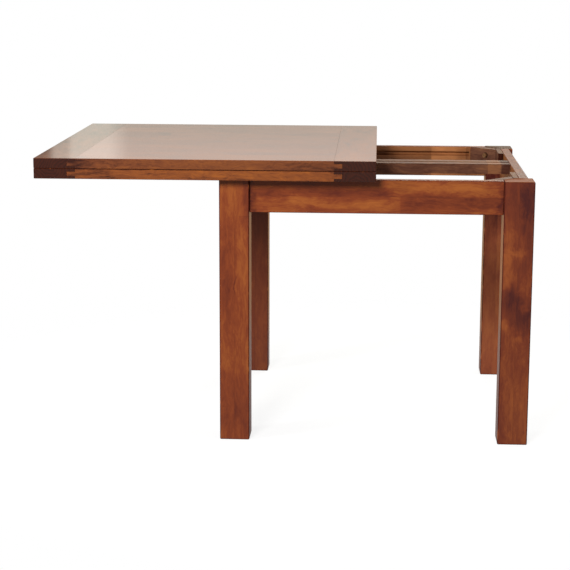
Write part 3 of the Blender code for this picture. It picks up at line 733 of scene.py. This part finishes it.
# The leaves have the most lacquer, and boards that run their whole length. Their arrises where they meet
# are darkened with painted shade for the groove between them
LEAF_WOOD = StainedHardwood(
    dark="#320f0a", block_length=ONE_BLOCK, satin=0.28, polish=0.2, fibre_relief=0.002
)
LOWER_LEAF_WOOD = replace(
    LEAF_WOOD,
    mid="#884822",
    light="#a65c26",
    clean_side=-1.0,
    patches=(patch(-270, -450, 150, 70, -0.15), patch(214, -450, 170, 70, 0.14)),
)
UPPER_LEAF_WOOD = replace(
    LEAF_WOOD,
    mid="#7a4123",
    light="#955428",
    clean_side=1.0,
    patches=(
        patch(-352, -450, 42, 70, -0.24),
        patch(-330, -450, 110, 70, -0.2),
        patch(-50, -450, 130, 70, -0.14),
        patch(280, -450, 160, 70, -0.07),
    ),
)


@dataclass
class SubAssembly:
    """Pieces of the table that are finished together."""

    pattern: NodeTree
    smooth_angle: float = math.radians(50)
    flat_angle: float = math.radians(0.2)
    merge_distance: float = 0.002 * MM
    bodies: dict[str, str] = field(init=False)
    slots: dict[str, str] = field(init=False)

    def __post_init__(self) -> None:
        """Looks up the body and the material slot of every node."""
        record = frame["record"]
        groups = record["behaviour"]["bodies"]
        self.bodies = {node: body for body, nodes in groups.items() for node in nodes}
        self.slots = {row["node"]: row["material_slot"] for row in record["subparts"]}

    def middle(self, *nodes: str) -> Vector:
        """The middle of the box around some nodes.

        Args:
            nodes: The nodes, one or more.

        Returns:
            The box's middle.
        """
        corners = [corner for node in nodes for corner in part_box(node)]
        low = Vector([min(c[axis] for c in corners) for axis in range(3)])
        high = Vector([max(c[axis] for c in corners) for axis in range(3)])
        return (low + high) / 2

    def finished_copy(self, node: str, material: Material) -> None:
        """Stands a smoothly shaded copy of a node in its place.

        Args:
            node: The node that is copied and hidden.
            material: The finish of the copy.
        """
        shape = bmesh.new()
        shape.from_mesh(frame["nodes"][node].data)
        bmesh.ops.remove_doubles(shape, verts=shape.verts, dist=self.merge_distance)
        bmesh.ops.dissolve_limit(
            shape, angle_limit=self.flat_angle, verts=shape.verts, edges=shape.edges, delimit={"NORMAL"}
        )
        mesh = bpy.data.meshes.new(f"finished_{node}")
        shape.to_mesh(mesh)
        shape.free()
        mesh.shade_smooth()
        mesh.set_sharp_from_angle(angle=self.smooth_angle)
        piece = bpy.data.objects.new(f"finished_{node}", mesh)
        bpy.context.scene.collection.objects.link(piece)
        weights = piece.modifiers.new("flat faces", "WEIGHTED_NORMAL")
        weights.keep_sharp = True
        make_plain(piece)
        piece.data.materials.clear()
        piece.data.materials.append(material)
        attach(piece, self.bodies[node])
        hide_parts(node)
        LOG.info("%s rides on %s", piece.name, self.bodies[node])

    def wooden(
        self, node: str, wood: StainedHardwood, grain: Grain, seed: float, middle: Vector | None = None
    ) -> None:
        """Finishes one wooden node with its own boards."""
        centre = self.middle(node) if middle is None else middle
        self.finished_copy(node, wood.material(node, self.pattern, grain, seed, centre))


def make_plain(piece: Object) -> None:
    """Turns a piece with modifiers into a plain mesh.

    Args:
        piece: The piece, which is in the scene.
    """
    raw = piece.data
    graph = bpy.context.evaluated_depsgraph_get()
    piece.data = bpy.data.meshes.new_from_object(piece.evaluated_get(graph))
    piece.modifiers.clear()
    bpy.data.meshes.remove(raw)


@dataclass
class Undercarriage(SubAssembly):
    """Legs, rails, runner and corner braces, with the bolts that hold the legs."""

    corners: tuple[str, ...] = ("front_left", "front_right", "back_left", "back_right")
    rising: tuple[str, ...] = ("front_right", "back_left")
    leg_seed: float = 3.0
    brace_seed: float = 11.0
    block_seed: float = 21.0
    rail_seed: float = 31.0

    def dress(self, bolt_steel: Material, washer_steel: Material) -> None:
        """Finishes every piece of the frame.

        Args:
            bolt_steel: The finish of the bolts.
            washer_steel: The finish of their washers.
        """
        for index, corner in enumerate(self.corners):
            self.wooden(f"leg_{corner}", LEG_WOODS[corner], Grain.ALONG_Z, self.leg_seed + index)
            slant = Grain.DIAGONAL_RISING if corner in self.rising else Grain.DIAGONAL_FALLING
            self.wooden(f"corner_brace_{corner}", INNER_WOOD, slant, self.brace_seed + index)
            self.wooden(f"brace_block_{corner}", INNER_WOOD, Grain.ALONG_Y_UPRIGHT, self.block_seed + index)
            self.finished_copy(f"leg_washer_{corner}", washer_steel)
            self.finished_copy(f"leg_bolt_{corner}", bolt_steel)
        rails = (
            ("front_rail", FRONT_RAIL_WOOD, Grain.ALONG_X_UPRIGHT),
            ("back_rail", BACK_RAIL_WOOD, Grain.ALONG_X_UPRIGHT),
            ("left_rail", LEFT_RAIL_WOOD, Grain.ALONG_Y_UPRIGHT),
            ("right_rail", RIGHT_RAIL_WOOD, Grain.ALONG_Y_UPRIGHT),
            ("centre_runner", RUNNER_WOOD, Grain.ALONG_X_LEVEL),
        )
        for index, (node, wood, grain) in enumerate(rails):
            self.wooden(node, wood, grain, self.rail_seed + index)


@dataclass(kw_only=True)
class Leaf(SubAssembly):
    """One half of the top: a panel of boards between two end boards."""

    prefix: str
    seed: float
    wood: StainedHardwood
    board_width: float = 112.5 * MM
    end_board_width: float = 110 * MM
    left_droop: float = 0.0075

    def dress(self) -> None:
        """Finishes the panel and the end boards."""
        panel_wood = replace(self.wood, strip_width=self.board_width)
        end_wood = replace(self.wood, strip_width=self.end_board_width, patches=())
        self.wooden(f"{self.prefix}_panel", panel_wood, Grain.ALONG_X_LEVEL, self.seed)
        half_strip = Vector((self.end_board_width / 2, 0, 0))
        for step, (end, droop) in enumerate((("left", self.left_droop), ("right", 0.0))):
            node = f"{self.prefix}_end_board_{end}"
            wood = replace(end_wood, droop=droop)
            self.wooden(node, wood, Grain.ALONG_Y_LEVEL, self.seed + 1 + step, self.middle(node) + half_strip)


@dataclass(frozen=True)
class Screw:
    """A countersunk screw: its sizes, 1 if its face looks down, the seed of its angle and its metal."""

    head_radius: float
    head_height: float
    shank_radius: float
    shank_length: float = 0.0
    face_down: float = 1.0
    seed: int = 0
    metal: Material | None = None


class ScrewSet(NodeGroup):
    """Countersunk screws with a cross recess, made by one geometry tree and set out on points."""

    INPUTS = {
        "Points": "NodeSocketGeometry",
        "Metal": "NodeSocketMaterial",
        **dict.fromkeys(("Head Radius", "Head Height", "Shank Radius", "Shank Length"), "NodeSocketFloat"),
        "Face Down": "NodeSocketFloat",
        "Seed": "NodeSocketInt",
    }
    OUTPUTS = {"Screws": "NodeSocketGeometry"}
    HEAD_SIDES = 32
    SHANK_SIDES = 16
    SMOOTH_ANGLE = math.radians(35)
    MOST_TWIST = math.pi / 2

    # The cross recess, in shares of the head's radius and height; half of its height cuts into the head
    RECESS_WIDTH = 1.15
    RECESS_BLADE = 0.26
    RECESS_HEIGHT = 1.1

    def build(self) -> None:
        """Fills the tree: one screw, head face at the origin, then a turned copy on each point."""
        given = self.given
        head_sizes = {
            "Vertices": self.HEAD_SIDES,
            "Radius Top": given["Head Radius"],
            "Radius Bottom": given["Shank Radius"],
            "Depth": given["Head Height"],
        }
        head = self.add("GeometryNodeMeshCone", inputs=head_sizes)
        drop = self.add(MATH, TIMES, (given["Head Height"], -1.0))
        place = self.add(JOIN, inputs=(0.0, 0.0, drop))
        head = self.add("GeometryNodeTransform", inputs={"Geometry": head, "Translation": place})
        width = self.add(MATH, TIMES, (given["Head Radius"], self.RECESS_WIDTH))
        blade = self.add(MATH, TIMES, (given["Head Radius"], self.RECESS_BLADE))
        height = self.add(MATH, TIMES, (given["Head Height"], self.RECESS_HEIGHT))
        recess = self.add("GeometryNodeJoinGeometry")
        for sizes in ((width, blade, height), (blade, width, height)):
            arm = self.add("GeometryNodeMeshCube", inputs={"Size": self.add(JOIN, inputs=sizes)})
            self.tree.links.new(arm.outputs["Mesh"], recess.inputs[0])
        cut = {"operation": "DIFFERENCE", "solver": "EXACT"}
        head = self.add("GeometryNodeMeshBoolean", cut, {"Mesh 1": head, "Mesh 2": recess})
        shank_sizes = {
            "Vertices": self.SHANK_SIDES,
            "Radius": given["Shank Radius"],
            "Depth": given["Shank Length"],
        }
        shank = self.add("GeometryNodeMeshCylinder", inputs=shank_sizes)
        half = self.add(MATH, TIMES_PLUS, (given["Shank Length"], -0.5, drop))
        place = self.add(JOIN, inputs=(0.0, 0.0, half))
        shank = self.add("GeometryNodeTransform", inputs={"Geometry": shank, "Translation": place})
        screw = self.add("GeometryNodeJoinGeometry")
        for piece in (head, shank):
            self.tree.links.new(piece.outputs[0], screw.inputs[0])

        # Each screw stopped at its own angle: input 3 is the most that a single number can be, and 8 the seed
        draw = {3: self.MOST_TWIST, 8: given["Seed"]}
        twist = self.add("FunctionNodeRandomValue", {"data_type": "FLOAT"}, draw)
        flip = self.add(MATH, TIMES, (given["Face Down"], math.pi))
        turn = self.add(JOIN, inputs=(flip, 0.0, twist.outputs[1]))
        inputs = {"Points": given["Points"], "Instance": screw, "Rotation": turn}
        copies = self.add("GeometryNodeInstanceOnPoints", inputs=inputs)
        solid = self.add("GeometryNodeRealizeInstances", inputs={"Geometry": copies})
        dressed = self.add("GeometryNodeSetMaterial", inputs={"Geometry": solid, "Material": given["Metal"]})
        self.add("NodeGroupOutput", inputs=(dressed,))

    def make(self, name: str, places: Iterable[Vector], screw: Screw) -> Object:
        """Sets out one group of screws as a plain mesh.

        Args:
            name: The piece's name.
            places: The middle of each head's face.
            screw: What each of them is.

        Returns:
            The new piece.
        """
        points = bpy.data.meshes.new(name)
        points.from_pydata([tuple(place) for place in places], [], [])
        piece = bpy.data.objects.new(name, points)
        modifier = piece.modifiers.new("screws", "NODES")
        modifier.node_group = self.tree
        for item in fields(screw):
            modifier[self.identifiers[as_label(item.name)]] = getattr(screw, item.name)
        bpy.context.scene.collection.objects.link(piece)
        make_plain(piece)
        piece.data.shade_smooth()
        piece.data.set_sharp_from_angle(angle=self.SMOOTH_ANGLE)
        LOG.info("%s has %d faces", name, len(piece.data.polygons))
        return piece


@dataclass
class SlidingGear(SubAssembly):
    """Blocks and the guide under the lower leaf, with their screws."""

    wooden_pieces: tuple[str, ...] = ("slide_block_front", "slide_block_back", "centre_guide")
    screw_kinds: tuple[str, ...] = ("slide_screw", "guide_screw")
    wood_seed: float = 51.0
    screw: Screw = Screw(head_radius=4.2 * MM, head_height=3.0 * MM, shank_radius=2.0 * MM, seed=7)

    def dress(self, steel: Material, screws: ScrewSet) -> None:
        """Finishes the blocks, the guide and their screws.

        Args:
            steel: The finish of the screws.
            screws: The tree that makes them.
        """
        for index, node in enumerate(self.wooden_pieces):
            self.wooden(node, INNER_WOOD, Grain.ALONG_X_LEVEL, self.wood_seed + index)
        for kind in self.screw_kinds:
            nodes = sorted(node for node in self.bodies if node.startswith(kind))
            places = [self.middle(node) for node in nodes]
            low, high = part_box(nodes[0])
            for place in places:
                place.z = low[2]
            shank_length = high[2] - low[2] - self.screw.head_height
            screw = replace(self.screw, shank_length=shank_length, metal=steel)
            piece = screws.make(f"{kind}s", places, screw)
            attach(piece, self.bodies[nodes[0]])
            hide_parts(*nodes)


@dataclass
class FlushHinges(SubAssembly):
    """Hinge plates, links and pins let into the meeting faces of the leaves."""

    places: tuple[str, ...] = ("front", "middle", "back")
    front_screw: float = 19.0 * MM
    back_screw: float = 6.5 * MM
    screw_spread: float = 13.5 * MM
    screw: Screw = Screw(
        head_radius=2.9 * MM, head_height=1.45 * MM, shank_radius=1.4 * MM, shank_length=14 * MM
    )
    lower_seed: int = 5
    upper_seed: int = 3

    def dress(self, brass: Material, screws: ScrewSet) -> None:
        """Finishes every piece of the hinges and sets their screws.

        Args:
            brass: The finish of it all.
            screws: The tree that makes the screws.
        """
        for node in sorted(self.bodies):
            if node.startswith("hinge_"):
                self.finished_copy(node, brass)
        for half, face_down, seed in (("lower", 0.0, self.lower_seed), ("upper", 1.0, self.upper_seed)):
            places = []
            for where in self.places:
                low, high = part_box(f"hinge_{half}_{where}")
                face = low[2] if face_down else high[2]
                along = (low[1] + high[1]) / 2
                places.append(Vector((low[0] + self.back_screw, along, face)))
                for side in (-self.screw_spread, self.screw_spread):
                    places.append(Vector((low[0] + self.front_screw, along + side, face)))
            screw = replace(self.screw, face_down=face_down, seed=seed, metal=brass)
            node = f"hinge_{half}_front"
            piece = screws.make(f"hinge_screws_{half}", places, screw)
            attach(piece, self.bodies[node])


@dataclass(frozen=True)
class Softbox:
    """A square lamp that faces the table, in degrees, metres and watts."""

    name: str
    azimuth: float
    elevation: float
    distance: float
    side: float
    power: float
    colour: str = "#ffffff"
    mirrored: bool = True

    def hang(self, aim: Vector) -> None:
        """Hangs the lamp.

        Args:
            aim: The point that it faces.
        """
        lamp = bpy.data.lights.new(self.name, "AREA")
        lamp.shape = "SQUARE"
        lamp.size = self.side
        lamp.energy = self.power
        lamp.color = linear(self.colour)[:3]
        holder = bpy.data.objects.new(self.name, lamp)
        holder.visible_glossy = self.mirrored
        turn, rise = math.radians(self.azimuth), math.radians(self.elevation)
        way = Vector((math.sin(turn) * math.cos(rise), -math.cos(turn) * math.cos(rise), math.sin(rise)))
        holder.location = aim + way * self.distance
        holder.rotation_euler = way.to_track_quat("Z", "Y").to_euler()
        bpy.context.scene.collection.objects.link(holder)


LAMPS = (
    Softbox("key_softbox", azimuth=-18, elevation=26, distance=4.2, side=1.0, power=128, mirrored=False),
    Softbox("left_softbox", azimuth=-58, elevation=19.5, distance=4.0, side=0.5, power=56, mirrored=False),
    Softbox("overhead_softbox", azimuth=180, elevation=84, distance=3.0, side=2.4, power=22),
    Softbox("back_softbox", azimuth=165, elevation=42, distance=4.0, side=1.8, power=80, colour="#f8f6e2"),
    Softbox("right_softbox", azimuth=84, elevation=14, distance=4.5, side=1.6, power=75, mirrored=False),
)

# The room that the lacquer mirrors: a dark corner at the left, and a plain wall with one bright window
CORNER, WALL, WINDOW = "#7c7c7c", "#d9d9d9", "#ffffff"


@dataclass
class Studio:
    """A pale floor, soft light and a white surround."""

    floor_radius: float = 1.5
    floor_fade: float = 0.9
    floor_sides: int = 96
    floor_colour: str = "#7c7c7c"
    floor_lift: float = 0.84
    floor_mirror: float = 0.4
    white: str = "#ffffff"
    ambient: float = 0.15
    room_shade: float = 0.82
    surround_colour: str = "#fff4e9"
    ground_colour: str = "#d6ccc4"
    far_ground_colour: str = "#ffcf9f"
    far_side: float = 0.6
    horizon_blur: float = 0.08
    least_depth: float = 0.05
    wall_left: float = -0.23
    wall_right: float = 0.14
    wall: tuple[tuple[float, str], ...] = (
        (-0.205, CORNER),
        (-0.201, WALL),
        (-0.192, WALL),
        (-0.190, WINDOW),
        (-0.167, WINDOW),
        (-0.154, WALL),
    )
    wall_gain: float = 1.45
    wall_foot: float = 0.098
    wall_head: float = 0.124
    wall_foot_colour: str = "#c6c5b9"
    wall_head_colour: str = "#fdeee3"
    ceiling_foot: float = 0.14
    ceiling_head: float = 0.22
    ceiling_shade: float = 0.4
    lamp_height: float = 0.5
    lamps: tuple[Softbox, ...] = LAMPS

    def build(self, middle: Vector) -> None:
        """Makes the floor, the lamps and the world.

        Args:
            middle: The point on the floor under the table.
        """
        self.build_floor(middle)
        self.build_world()
        for lamp in self.lamps:
            lamp.hang(middle + Vector((0, 0, self.lamp_height)))

    def build_floor(self, middle: Vector) -> None:
        """Lays a round floor that fades into the white surround at its rim.

        Args:
            middle: The floor's middle.
        """
        mesh = bpy.data.meshes.new("floor")
        disc = bmesh.new()
        bmesh.ops.create_circle(disc, cap_ends=True, segments=self.floor_sides, radius=self.floor_radius)
        disc.to_mesh(mesh)
        disc.free()
        floor = bpy.data.objects.new("floor", mesh)
        floor.location = middle
        bpy.context.scene.collection.objects.link(floor)

        # Matt paper: no shine, and white wherever no shadow falls on it
        material = bpy.data.materials.new("matt_white_paper")
        material.use_nodes = True
        tree = material.node_tree
        tree.nodes.clear()
        lit = add(tree, "ShaderNodeBsdfDiffuse", inputs={"Color": linear(self.floor_colour)})
        glow = add(tree, "ShaderNodeEmission", inputs={"Strength": self.floor_lift})
        none = add(tree, "ShaderNodeEmission", inputs={"Strength": 0.0})
        lift = add(tree, MIX_SHADER, inputs=(self.seen_ray(tree, self.floor_mirror), none, glow))
        paper = add(tree, "ShaderNodeAddShader", inputs=(lit, lift))
        place = add(tree, PLACE).outputs["Object"]
        reach = add(tree, VECTOR, LENGTH, (place,)).outputs["Value"]
        plain = self.floor_radius - self.floor_fade
        fade = add(tree, RANGE, SMOOTH, (reach, plain, self.floor_radius))
        # Nothing of the floor shows from below, so that it doesn't hide the underside
        below = add(tree, "ShaderNodeNewGeometry").outputs["Backfacing"]
        gone = add(tree, MATH, LARGER, (fade, below))
        clear = add(tree, "ShaderNodeBsdfTransparent")
        mixed = add(tree, MIX_SHADER, inputs=(gone, paper, clear))
        add(tree, "ShaderNodeOutputMaterial", inputs={"Surface": mixed})
        floor.data.materials.append(material)

    def seen_ray(self, tree: NodeTree, mirror: float) -> Node:
        """Tells rays that show a surface, straight or mirrored, from rays that only light it.

        Args:
            tree: The tree that asks.
            mirror: What a glossy ray counts for.

        Returns:
            A node that is 1 for camera and transmission rays.
        """
        path = add(tree, "ShaderNodeLightPath").outputs
        glossy = add(tree, MATH, TIMES, (path["Is Glossy Ray"], mirror))
        seen = add(tree, MATH, LARGER, (path["Is Camera Ray"], glossy))
        return add(tree, MATH, LARGER, (seen, path["Is Transmission Ray"]))

    def wall_colour(self, tree: NodeTree, slant: Any, up: Any) -> Any:
        """The paint of the wall behind, with a dark corner and a bright window at its left.

        Args:
            tree: The world's tree.
            slant: How far to the right the ray goes, for each step away.
            up: How far up it goes.

        Returns:
            The colour's socket.
        """
        place = add(tree, RANGE, inputs=(slant, self.wall_left, self.wall_right))
        wall = add(tree, "ShaderNodeValToRGB", inputs=(place,))
        stops = wall.color_ramp.elements
        while len(stops) < len(self.wall):
            stops.new(0.5)
        for stop, (where, colour) in zip(stops, self.wall):
            stop.position = (where - self.wall_left) / (self.wall_right - self.wall_left)
            stop.color = linear(colour)
        height = add(tree, RANGE, inputs=(up, self.wall_foot, self.wall_head))
        foot, head = linear(self.wall_foot_colour), linear(self.wall_head_colour)
        paint = add(tree, MIX, COLOUR, {0: height, 6: foot, 7: head})
        product = {**COLOUR, "blend_type": "MULTIPLY"}
        return add(tree, MIX, product, {0: 1.0, 6: paint.outputs[2], 7: wall}).outputs[2]

    def mirrored_room(self, tree: NodeTree) -> Node:
        """The surround as the lacquer mirrors it: a bright wall behind, a darker ceiling and a warm ground.

        Args:
            tree: The world's tree.

        Returns:
            The background shader.
        """
        way = add(tree, PLACE).outputs["Generated"]
        right, away, up = add(tree, SPLIT, inputs=(way,)).outputs
        behind = add(tree, RANGE, SMOOTH, (away, 0.0, self.far_side))
        above = add(tree, RANGE, SMOOTH, (up, -self.horizon_blur, self.horizon_blur))
        depth = add(tree, MATH, LARGER, (away, self.least_depth))
        slant = add(tree, MATH, OVER, (right, depth))
        inputs = (up, self.ceiling_foot, self.ceiling_head, self.wall_gain, self.ceiling_shade)
        ceiling = add(tree, RANGE, SMOOTH, inputs)
        facing = add(tree, MATH, TIMES, (behind, above))
        bright = add(tree, MIX, {"data_type": "FLOAT"}, {0: facing, 2: self.room_shade, 3: ceiling})
        near, far = linear(self.ground_colour), linear(self.far_ground_colour)
        colour = add(tree, MIX, COLOUR, {0: behind, 6: near, 7: far})
        wall = self.wall_colour(tree, slant, up)
        for share, seen in ((above, linear(self.surround_colour)), (facing, wall)):
            colour = add(tree, MIX, COLOUR, {0: share, 6: colour.outputs[2], 7: seen})
        return add(tree, "ShaderNodeBackground", inputs={"Color": colour.outputs[2], "Strength": bright})

    def build_world(self) -> None:
        """Makes the surround: white for the camera, a mirrored room for the lacquer and a low even fill."""
        world = bpy.data.worlds.new("white_studio")
        world.use_nodes = True
        bpy.context.scene.world = world
        tree = world.node_tree
        tree.nodes.clear()
        white = linear(self.white)
        backdrop = add(tree, "ShaderNodeBackground", inputs={"Color": white, "Strength": 1.0})
        fill = add(tree, "ShaderNodeBackground", inputs={"Color": white, "Strength": self.ambient})
        camera_ray = add(tree, "ShaderNodeLightPath").outputs["Is Camera Ray"]
        surround = add(tree, MIX_SHADER, inputs=(camera_ray, self.mirrored_room(tree), backdrop))
        mixed = add(tree, MIX_SHADER, inputs=(self.seen_ray(tree, 1.0), fill, surround))
        add(tree, "ShaderNodeOutputWorld", inputs={"Surface": mixed})


@dataclass
class PhotoCamera:
    """The camera at the photograph's viewpoint, in metres, radians and pixels of the photograph."""

    place: Triple = (-0.00109, -4.64775, 1.29142)
    tilt: float = 0.2002
    yaw: float = 0.0562
    roll: float = 0.0032
    focal_pixels: float = 1623.5
    sensor: float = 36.0

    def build(self, middle: Vector) -> None:
        """Sets up the camera.

        Args:
            middle: The point on the floor under the frame, which the camera's place is measured from.
        """
        level = Vector((math.cos(self.yaw), math.sin(self.yaw), 0))
        ahead = Vector((-math.sin(self.yaw), math.cos(self.yaw), 0)) * math.cos(self.tilt)
        ahead.z = -math.sin(self.tilt)
        upright = level.cross(ahead)
        right = level * math.cos(self.roll) + upright * math.sin(self.roll)
        up = upright * math.cos(self.roll) - level * math.sin(self.roll)
        data = bpy.data.cameras.new("photo_camera")
        data.lens = self.focal_pixels / PHOTO_SIDE * self.sensor
        data.sensor_width = self.sensor
        data.sensor_fit = "HORIZONTAL"
        camera = bpy.data.objects.new("photo_camera", data)
        turn = Matrix((right, up, -ahead)).transposed()
        camera.matrix_world = Matrix.Translation(middle + Vector(self.place)) @ turn.to_4x4()
        bpy.context.scene.collection.objects.link(camera)
        bpy.context.scene.camera = camera


def main() -> None:
    """Builds the table's looks around the frame."""
    logging.basicConfig(level=logging.INFO, format="%(message)s")
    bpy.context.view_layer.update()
    bpy.context.scene.view_settings.view_transform = "Standard"
    pattern = GrainPattern("glued_hardwood_grain", "ShaderNodeTree").tree
    screws = ScrewSet("countersunk_screws", "GeometryNodeTree")
    base = Undercarriage(pattern)
    base.dress(YELLOW_STEEL.material(), BLACK_STEEL.material())
    Leaf(pattern=pattern, prefix="lower", seed=41.0, wood=LOWER_LEAF_WOOD).dress()
    Leaf(pattern=pattern, prefix="upper", seed=46.0, wood=UPPER_LEAF_WOOD).dress()
    SlidingGear(pattern).dress(ZINC_STEEL.material(), screws)
    FlushHinges(pattern).dress(SATIN_BRASS.material(), screws)
    middle = base.middle(*(f"leg_{corner}" for corner in base.corners))
    middle.z = 0
    Studio().build(middle)
    PhotoCamera().build(middle)


if __name__ == "__main__":
    main()
